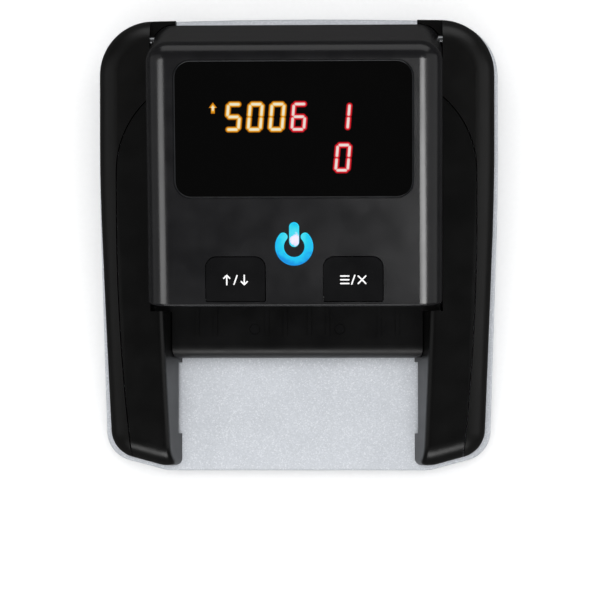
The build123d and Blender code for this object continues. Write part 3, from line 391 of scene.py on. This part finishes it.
def build_materials():
    """One finish for each material slot of the record."""
    return {
        # silver lacquer on ABS: a pale rim round the black body
        "silver_abs": silver_paint("silver_lacquered_abs"),
        # satin moulding with a spark-eroded texture, so its highlights are wide and soft
        "black_shell": moulded("black_abs_satin_shell", "#0b0a09", "#0f0e0d", (0.34, 0.42), 0.30, 0.010),
        # the arms' tool is polished a little more, so they are deeper black than the shell
        "black_arm": moulded("black_abs_polished_arm", "#0a0a0a", "#0e0e0e", (0.28, 0.36), 0.28, 0.006),
        # the head is greyer and smoother, so its edges carry a crisp bright line
        "black_head": moulded("black_abs_satin_head", "#151517", "#19191b", (0.19, 0.24), 0.26, 0.003),
        # sliding faces for the note have a coarse matt grain
        "black_guide": moulded("black_abs_note_guide", "#121213", "#19191a", (0.38, 0.5), 0.4, 0.012),
        # smoked cast acrylic: nearly black, mirror smooth, with a slow wave
        "smoked_acrylic": moulded(
            "smoked_acrylic_polished", "#010101", "#020202", (0.05, 0.08), 1.2, 0.001, ior=1.49
        ),
        # the keys are rougher than the glossy panel round them, which keeps them darker than it
        "key_plastic": moulded("black_abs_key", "#19191b", "#1e1e20", (0.26, 0.34), 0.25, 0.007),
        # frosted polycarbonate glows in the power symbol
        "cyan_light_pipe": light_pipe("frosted_polycarbonate_light_guide"),
        # rubbers are matt: moulded feet, ground drive rollers, grey pinch rollers
        "black_rubber": moulded("black_rubber_moulded", "#161616", "#222222", (0.65, 0.8), 0.5, 0.04),
        "roller_rubber": moulded("roller_rubber_ground", "#232325", "#303033", (0.6, 0.75), 0.35, 0.04),
        "pinch_rubber": moulded("pinch_roller_rubber", "#5a5d62", "#70747a", (0.6, 0.75), 0.35, 0.03),
        # ground bar is grained round its axis, zinc plating is even and brighter, strip is grained lengthwise
        "steel": metal("steel_ground_bar", "#8d8f92", "#b9bbbe", (0.22, 0.36), 0.25, (0.15, 1, 1)),
        "zinc_steel": metal("steel_zinc_plated", "#a9adb3", "#d2d5da", (0.2, 0.34), 0.8, (1, 1, 1)),
        "spring_steel": metal("spring_steel_strip", "#7f8286", "#a5a8ad", (0.25, 0.4), 0.3, (0.2, 1, 1)),
        # nickel plate is bright and slightly warm
        "motor_can": metal("nickel_plated_can", "#b3b1a8", "#d6d4cb", (0.16, 0.28), 0.6, (0.3, 1, 1)),
        # turned brass shows its tool rings, sintered bronze is browner and granular
        "brass": metal("brass_turned", "#b08d4a", "#d9b76a", (0.22, 0.36), 0.2, (1, 0.3, 0.3)),
        "sintered_bronze": metal(
            "bronze_sintered", "#7d5a34", "#a67c4c", (0.4, 0.55), 0.3, (1, 1, 1), 0.02
        ),
        # acetal is waxy: soft, even highlights in white and in black
        "white_acetal": moulded("acetal_natural_white", "#dcdcd4", "#ebebe4", (0.4, 0.5), 0.4, 0.01),
        "black_acetal": moulded("acetal_black", "#151515", "#1d1d1d", (0.38, 0.5), 0.4, 0.012),
        # the boards: glossy green mask, dull black component bodies, drawn aluminium capacitor cans
        "pcb_green": circuit_board("solder_mask_green"),
        "black_epoxy": moulded("epoxy_black_moulded", "#101011", "#18181a", (0.45, 0.6), 0.2, 0.01),
        "capacitor_can": metal("aluminium_drawn_can", "#a5a8ad", "#c9ccd1", (0.25, 0.4), 0.4, (1, 1, 0.2)),
        # dark polished glass in a dull sensor bar
        "sensor_glass": moulded("sensor_glass_dark", "#0c0f12", "#14191d", (0.05, 0.09), 1.0, 0.001, ior=1.52),
        "sensor_body": moulded("sensor_bar_black", "#131315", "#1b1b1d", (0.4, 0.5), 0.3, 0.01),
        # shrink sleeve is glossy and slightly wavy
        "battery_wrap": moulded("pvc_shrink_sleeve_blue", "#12284e", "#1a3666", (0.2, 0.32), 1.5, 0.02),
        # cast clear epoxy: pale and glossy
        "led_lens": moulded("led_epoxy_clear", "#c6dcea", "#dcecf5", (0.08, 0.14), 0.8, 0.001),
        # lapped permalloy: fine lines along the gap, almost a mirror
        "head_metal": metal("permalloy_lapped", "#86888b", "#b4b6b9", (0.12, 0.24), 0.15, (1, 0.1, 1)),
    }


# ---------------------------------------------------------------- display and printed marks
# The bars of each digit, lettered clockwise from the top, with g in the middle
SEGMENTS = {"0": "abcdef", "1": "bc", "5": "afgcd", "6": "afgedc"}
SEGMENT_GAP = 0.6


def digit(symbol, x, v, width, height, slant, radius):
    """Patches of one leaning seven-bar digit; each point moves sideways by slant times its height."""
    w, h, g = width / 2, height / 2, SEGMENT_GAP
    ends = {
        "a": ((-w + g, h), (w - g, h)),
        "b": ((w, h - g), (w, g)),
        "c": ((w, -g), (w, -h + g)),
        "d": ((-w + g, -h), (w - g, -h)),
        "e": ((-w, -g), (-w, -h + g)),
        "f": ((-w, h - g), (-w, g)),
        "g": ((-w + g, 0), (w - g, 0)),
    }
    patches = []
    for name, bar in ends.items():
        if name in SEGMENTS[symbol]:
            start, end = ((x + across + slant * up, v + up) for across, up in bar)
            patches.append(lozenge(start, end, radius))
    return patches


def arrow_up(x, v, width, height, rings=6, steps=8):
    """A solid arrow: rings that are its outline shrunk towards its middle, each side cut into equal steps."""
    corners = np.array(
        [(0, 0.5), (-0.5, 0.02), (-0.24, 0.02), (-0.24, -0.5), (0.24, -0.5), (0.24, 0.02), (0.5, 0.02)]
    ) * (width, height)
    share = np.linspace(0, 1, steps, endpoint=False)[None, :, None]
    outline = (corners[:, None] * (1 - share) + np.roll(corners, -1, axis=0)[:, None] * share).reshape(-1, 2)
    grow = np.linspace(1 / rings, 1, rings)
    middle = np.array((x, v))
    points = np.vstack([middle, middle + (grow[:, None, None] * outline).reshape(-1, 2)])
    edge = np.concatenate([[0.0], np.repeat(grow, len(outline))])
    # the arrow stops short of the bars' dark rim, so it stays bright to its outline
    return points, BAR_CROWN * (1 - edge**2), edge * 0.82, fan_faces(len(outline), rings)


def key_arrow(x, v, direction):
    """Strokes of a printed arrow: a shaft and two barbs, up for 1 and down for -1."""
    tip = (x, v + direction * 1.5)
    barb_v = v + direction * 0.55
    return [((x, v - 1.5), (x, v + 1.5)), (tip, (x - 0.95, barb_v)), (tip, (x + 0.95, barb_v))]


class DetectorSizes(bpy.types.PropertyGroup):
    """Sizes of the lit and printed marks."""

    digit_height: bpy.props.FloatProperty(
        name="Digit height", description="Height of a display digit", default=0.0080,
        unit="LENGTH", subtype="DISTANCE",
    )
    digit_width: bpy.props.FloatProperty(
        name="Digit width", description="Width of a display digit", default=0.0038,
        unit="LENGTH", subtype="DISTANCE",
    )
    digit_pitch: bpy.props.FloatProperty(
        name="Digit pitch", description="Distance between digits", default=0.00692,
        unit="LENGTH", subtype="DISTANCE",
    )
    bar_radius: bpy.props.FloatProperty(
        name="Bar glow", description="Half width of a glowing bar with its rim", default=0.00105,
        unit="LENGTH", subtype="DISTANCE",
    )
    mark_width: bpy.props.FloatProperty(
        name="Printed line", description="Width of a printed stroke on a key", default=0.00045,
        unit="LENGTH", subtype="DISTANCE",
    )


class DetectorColours(bpy.types.PropertyGroup):
    """Colours of the display and of the stage, and the strength of its light."""

    amber: bpy.props.FloatVectorProperty(
        name="Amber", description="Colour of the amber bars' glow", default=linear("#eea81e")[:3],
        size=3, min=0, max=1, subtype="COLOR",
    )
    red: bpy.props.FloatVectorProperty(
        name="Red", description="Colour of the red bars' glow", default=linear("#dc2633")[:3],
        size=3, min=0, max=1, subtype="COLOR",
    )
    floor: bpy.props.FloatVectorProperty(
        name="Floor", description="Colour of the floor", default=(0.9, 0.9, 0.9),
        size=3, min=0, max=1, subtype="COLOR",
    )
    light: bpy.props.FloatProperty(
        name="Fill light", description="Power of the front softbox, which sets the others", default=4.5,
        min=0, unit="POWER",
    )


class DETECTOR_OT_finishes(bpy.types.Operator):
    """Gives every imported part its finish"""

    bl_idname = "detector.finishes"
    bl_label = "Apply finishes"

    def execute(self, context):
        materials = build_materials()
        for entry in frame["record"]["subparts"]:
            mesh = frame["nodes"][entry["node"]].data
            mesh.materials.clear()
            mesh.materials.append(materials[entry["material_slot"]])
        return {"FINISHED"}


class DETECTOR_OT_display(bpy.types.Operator):
    """Lights the display digits behind the window"""

    bl_idname = "detector.display"
    bl_label = "Add display digits"

    def execute(self, context):
        sizes = context.scene.detector_sizes
        colours = context.scene.detector_colours
        pitch = sizes.digit_pitch / MM
        shape = (sizes.digit_width / MM, sizes.digit_height / MM, DIGIT_SLANT, sizes.bar_radius / MM)
        black = linear("#000000")
        amber = lit_digits("amber_led_segments", [
            (0.0, linear("#eeead8")), (0.3, linear("#ebe2bc")), (0.46, (*colours.amber, 1.0)),
            (0.78, linear("#b46802")), (1.0, black),
        ])
        red = lit_digits("red_led_segments", [
            (0.0, linear("#e8e4de")), (0.32, linear("#e8d0ca")), (0.48, (*colours.red, 1.0)),
            (0.84, linear("#b80f1c")), (1.0, black),
        ])
        amber_row = [arrow_up(ARROW_X, ARROW_V, *ARROW_SIZE)]
        for place, symbol in enumerate("500"):
            amber_row += digit(symbol, FIRST_DIGIT_X + place * pitch, UPPER_DIGIT_V, *shape)
        red_rows = []
        for place, symbol, v in ((3, "6", UPPER_DIGIT_V), (5, "1", UPPER_DIGIT_V), (5, "0", LOWER_DIGIT_V)):
            red_rows += digit(symbol, FIRST_DIGIT_X + place * pitch, v, *shape)
        points, lift, edge, faces = join_patches(amber_row)
        make_piece("amber_digits", on_panel(points, lift + DIGIT_LIFT), faces, amber, "lid", edge)
        points, lift, edge, faces = join_patches(red_rows)
        make_piece("red_digits", on_panel(points, lift + DIGIT_LIFT), faces, red, "lid", edge)
        return {"FINISHED"}


class DETECTOR_OT_marks(bpy.types.Operator):
    """Prints the plain symbols on the two keys"""

    bl_idname = "detector.marks"
    bl_label = "Add key marks"

    def execute(self, context):
        radius = context.scene.detector_sizes.mark_width / MM / 2
        # white pad-printing ink: thin, matt and opaque
        ink = moulded("white_pad_print_ink", "#e4e4e4", "#f2f2f2", (0.45, 0.6), 0.2, 0.002, cloud_mm=1.5)
        v = KEY_MARK_V
        up_slash_down = (
            key_arrow(-21.6, v, 1) + key_arrow(-16.0, v, -1) + [((-19.3, v - 1.4), (-18.3, v + 1.4))]
        )
        list_slash_cross = [((14.8, v + y), (17.4, v + y)) for y in (-1.2, 0.0, 1.2)] + [
            ((18.3, v - 1.4), (19.3, v + 1.4)),
            ((20.4, v - 1.2), (22.8, v + 1.2)),
            ((20.4, v + 1.2), (22.8, v - 1.2)),
        ]
        for name, strokes, body in (
            ("left_key_mark", up_slash_down, "menu_key_left"),
            ("right_key_mark", list_slash_cross, "menu_key_right"),
        ):
            patches = [lozenge(*ends, radius, rings=2, around=24, height=0.0) for ends in strokes]
            points, lift, edge, faces = join_patches(patches)
            # each stroke lies a hair over the one before, so crossing strokes don't share a plane
            lift = lift + np.repeat(np.arange(len(patches)), [len(p[0]) for p in patches]) * INK_STEP
            make_piece(name, on_panel(points, lift + INK_LIFT), faces, ink, body, smooth=False)
        return {"FINISHED"}


class DETECTOR_OT_window_edge(bpy.types.Operator):
    """Adds the polished bevel round the display window"""

    bl_idname = "detector.window_edge"
    bl_label = "Add window edge"

    def execute(self, context):
        # a closed profile carried round the window's outline, (distance inwards, lift) in millimetres
        profile = np.array([(0.0, -0.16), (0.0, -0.02), (0.1, 0.02), (0.24, -0.02), (0.5, -0.09), (0.5, -0.16)])
        width, height = WINDOW_SIZE
        outline = rounded_box_outline(width - WINDOW_CLEARANCE, height - WINDOW_CLEARANCE, WINDOW_CORNER)
        following = np.roll(outline, -1, axis=0) - np.roll(outline, 1, axis=0)
        following /= np.linalg.norm(following, axis=1)[:, None]
        outward = np.stack([following[:, 1], -following[:, 0]], axis=1)
        count, steps = len(outline), len(profile)
        points = (outline[:, None, :] - outward[:, None, :] * profile[None, :, :1]).reshape(-1, 2)
        points = points + np.array((0.0, WINDOW_V))
        lift = np.tile(profile[:, 1], count)
        i = np.repeat(np.arange(count), steps)
        k = np.tile(np.arange(steps), count)
        j, m = (i + 1) % count, (k + 1) % steps
        faces = np.stack([i * steps + k, j * steps + k, j * steps + m, i * steps + m], axis=1)
        # polished acrylic edge, its grey base colour a painted highlight: a thin grey line where the bevel
        # catches the light
        edge = moulded(
            "acrylic_bevel_painted_highlight", "#26272a", "#303236", (0.12, 0.2), 0.6, 0.002, cloud_mm=6.0, ior=1.49
        )
        make_piece("window_bevel", on_panel(points, lift), [faces], edge, "lid")
        return {"FINISHED"}


# ---------------------------------------------------------------- stage
# Metres and watts
FLOOR_HALF = 3.0
AIR_STRENGTH = 0.07
OBJECT_FOOT = (0.0, 0.0, 0.0)
HEAD_MIDDLE = (0.0, 0.0, 0.05)
OVERHEAD = (0.0, 0.0, 2.5)
OVERHEAD_SIZE = (3.0, 3.0)
LOW_SIZE = (1.2, 0.4)
REAR_SIZE = (1.6, 0.8)
SIDE_SIZE = (0.9, 1.4)
RIM_SIZE = (0.6, 1.4)

# The camera looks almost straight down, a little from the front and from the right
CAMERA_AIM = (-0.00084, -0.01739, 0.008)
CAMERA_TOWARDS = (0.0335, -0.0523, 0.998)
CAMERA_DISTANCE = 0.892
CAMERA_LENS_MM = 162.2
CAMERA_SENSOR_MM = 36.0


def softbox(scene, name, place, target, size, power, only=()):
    """A rectangular area light aimed at a point; with only, a flagged light that reaches just those."""
    lamp = bpy.data.lights.new(name, "AREA")
    lamp.shape = "RECTANGLE"
    lamp.size, lamp.size_y = size
    lamp.energy = power
    holder = bpy.data.objects.new(name, lamp)
    scene.collection.objects.link(holder)
    holder.location = place
    aim = Vector(target) - Vector(place)
    holder.rotation_mode = "QUATERNION"
    holder.rotation_quaternion = aim.to_track_quat("-Z", "Y")
    if only:
        flagged = bpy.data.collections.new(name + "_reach")
        for thing in only:
            flagged.objects.link(thing)
        holder.light_linking.receiver_collection = flagged


class DETECTOR_OT_stage(bpy.types.Operator):
    """Sets the floor, the lights and the camera"""

    bl_idname = "detector.stage"
    bl_label = "Set the stage"

    def execute(self, context):
        scene = context.scene
        colours = scene.detector_colours
        mesh = bpy.data.meshes.new("studio_floor")
        s = FLOOR_HALF
        mesh.from_pydata([(-s, -s, 0), (s, -s, 0), (s, s, 0), (-s, s, 0)], [], [(0, 1, 2, 3)])
        floor = bpy.data.objects.new("studio_floor", mesh)
        scene.collection.objects.link(floor)
        mesh.materials.append(paper("seamless_paper_white", tuple(colours.floor)))
        # the gloss of the black plastics doesn't mirror the paper
        floor.visible_glossy = False

        world = bpy.data.worlds.new("studio_air")
        world.use_nodes = True
        air = world.node_tree.nodes["Background"]
        air.inputs["Color"].default_value = linear("#ffffff")
        air.inputs["Strength"].default_value = AIR_STRENGTH
        scene.world = world

        head = [frame["nodes"]["head_cover"]]
        pale = [floor] + [bpy.data.objects[name] for name in ("left_key_mark", "right_key_mark")]
        silver = [frame["nodes"][name] for name in ("bottom_case", "battery_door")]
        low = colours.light
        # two long strips, flagged off all but the head, make the bright lines along its edges; the rest of
        # the air over the object stays dim, so that its black plastics stay black
        softbox(scene, "strip_right", (0.33, -0.24, 0.82), HEAD_MIDDLE, (0.24, 0.42), 3.0, head)
        softbox(scene, "strip_left", (-0.55, -0.24, 0.71), HEAD_MIDDLE, (0.42, 0.42), 1.8, head)
        # low lights all round
        softbox(scene, "softbox_front", (0.0, -1.0, 0.5), OBJECT_FOOT, LOW_SIZE, low)
        softbox(scene, "softbox_rear", (0.1, 1.0, 0.5), OBJECT_FOOT, REAR_SIZE, low * 0.8)
        softbox(scene, "softbox_right", (1.05, 0.0, 0.5), OBJECT_FOOT, SIDE_SIZE, low * 0.4)
        softbox(scene, "softbox_left", (-1.05, 0.0, 0.5), OBJECT_FOOT, SIDE_SIZE, low * 0.25)
        # one for the paper and the white ink, and three for the silver case
        softbox(scene, "paper_light", OVERHEAD, OBJECT_FOOT, OVERHEAD_SIZE, 85.0, pale)
        softbox(scene, "silver_light", OVERHEAD, OBJECT_FOOT, OVERHEAD_SIZE, 52.0, silver)
        softbox(scene, "rim_light_left", (-1.2, 0.0, 0.3), OBJECT_FOOT, RIM_SIZE, 4.5, silver)
        softbox(scene, "rim_light_right", (1.2, 0.0, 0.3), OBJECT_FOOT, RIM_SIZE, 4.0, silver)

        towards = Vector(CAMERA_TOWARDS).normalized()
        right = Vector((0, 1, 0)).cross(towards).normalized()
        up = towards.cross(right)
        turn = Matrix((right, up, towards)).transposed()
        lens = bpy.data.cameras.new("camera")
        lens.lens = CAMERA_LENS_MM
        lens.sensor_width = CAMERA_SENSOR_MM
        lens.clip_start, lens.clip_end = 0.05, 20
        camera = bpy.data.objects.new("camera", lens)
        scene.collection.objects.link(camera)
        place = Vector(CAMERA_AIM) + towards * CAMERA_DISTANCE
        camera.matrix_world = Matrix.Translation(place) @ turn.to_4x4()
        scene.camera = camera
        scene.view_settings.view_transform = "Standard"
        return {"FINISHED"}


OPERATORS = (
    DETECTOR_OT_finishes,
    DETECTOR_OT_display,
    DETECTOR_OT_marks,
    DETECTOR_OT_window_edge,
    DETECTOR_OT_stage,
)


class DETECTOR_PT_panel(bpy.types.Panel):
    """Lists the steps, the sizes and the colours"""

    bl_label = "Banknote detector"
    bl_idname = "DETECTOR_PT_panel"
    bl_space_type = "VIEW_3D"
    bl_region_type = "UI"
    bl_category = "Detector"

    def draw(self, context):
        for operator in OPERATORS:
            self.layout.operator(operator.bl_idname)
        for group in (context.scene.detector_sizes, context.scene.detector_colours):
            for key in group.bl_rna.properties.keys():
                if key not in {"rna_type", "name"}:
                    self.layout.prop(group, key)


CLASSES = (DetectorSizes, DetectorColours, *OPERATORS, DETECTOR_PT_panel)


def register():
    for cls in CLASSES:
        bpy.utils.register_class(cls)
    bpy.types.Scene.detector_sizes = bpy.props.PointerProperty(type=DetectorSizes)
    bpy.types.Scene.detector_colours = bpy.props.PointerProperty(type=DetectorColours)


def unregister():
    del bpy.types.Scene.detector_sizes
    del bpy.types.Scene.detector_colours
    for cls in reversed(CLASSES):
        bpy.utils.unregister_class(cls)


def main():
    register()
    bpy.ops.detector.finishes()
    bpy.ops.detector.display()
    bpy.ops.detector.marks()
    bpy.ops.detector.window_edge()
    bpy.ops.detector.stage()


if __name__ == "__main__":
    main()
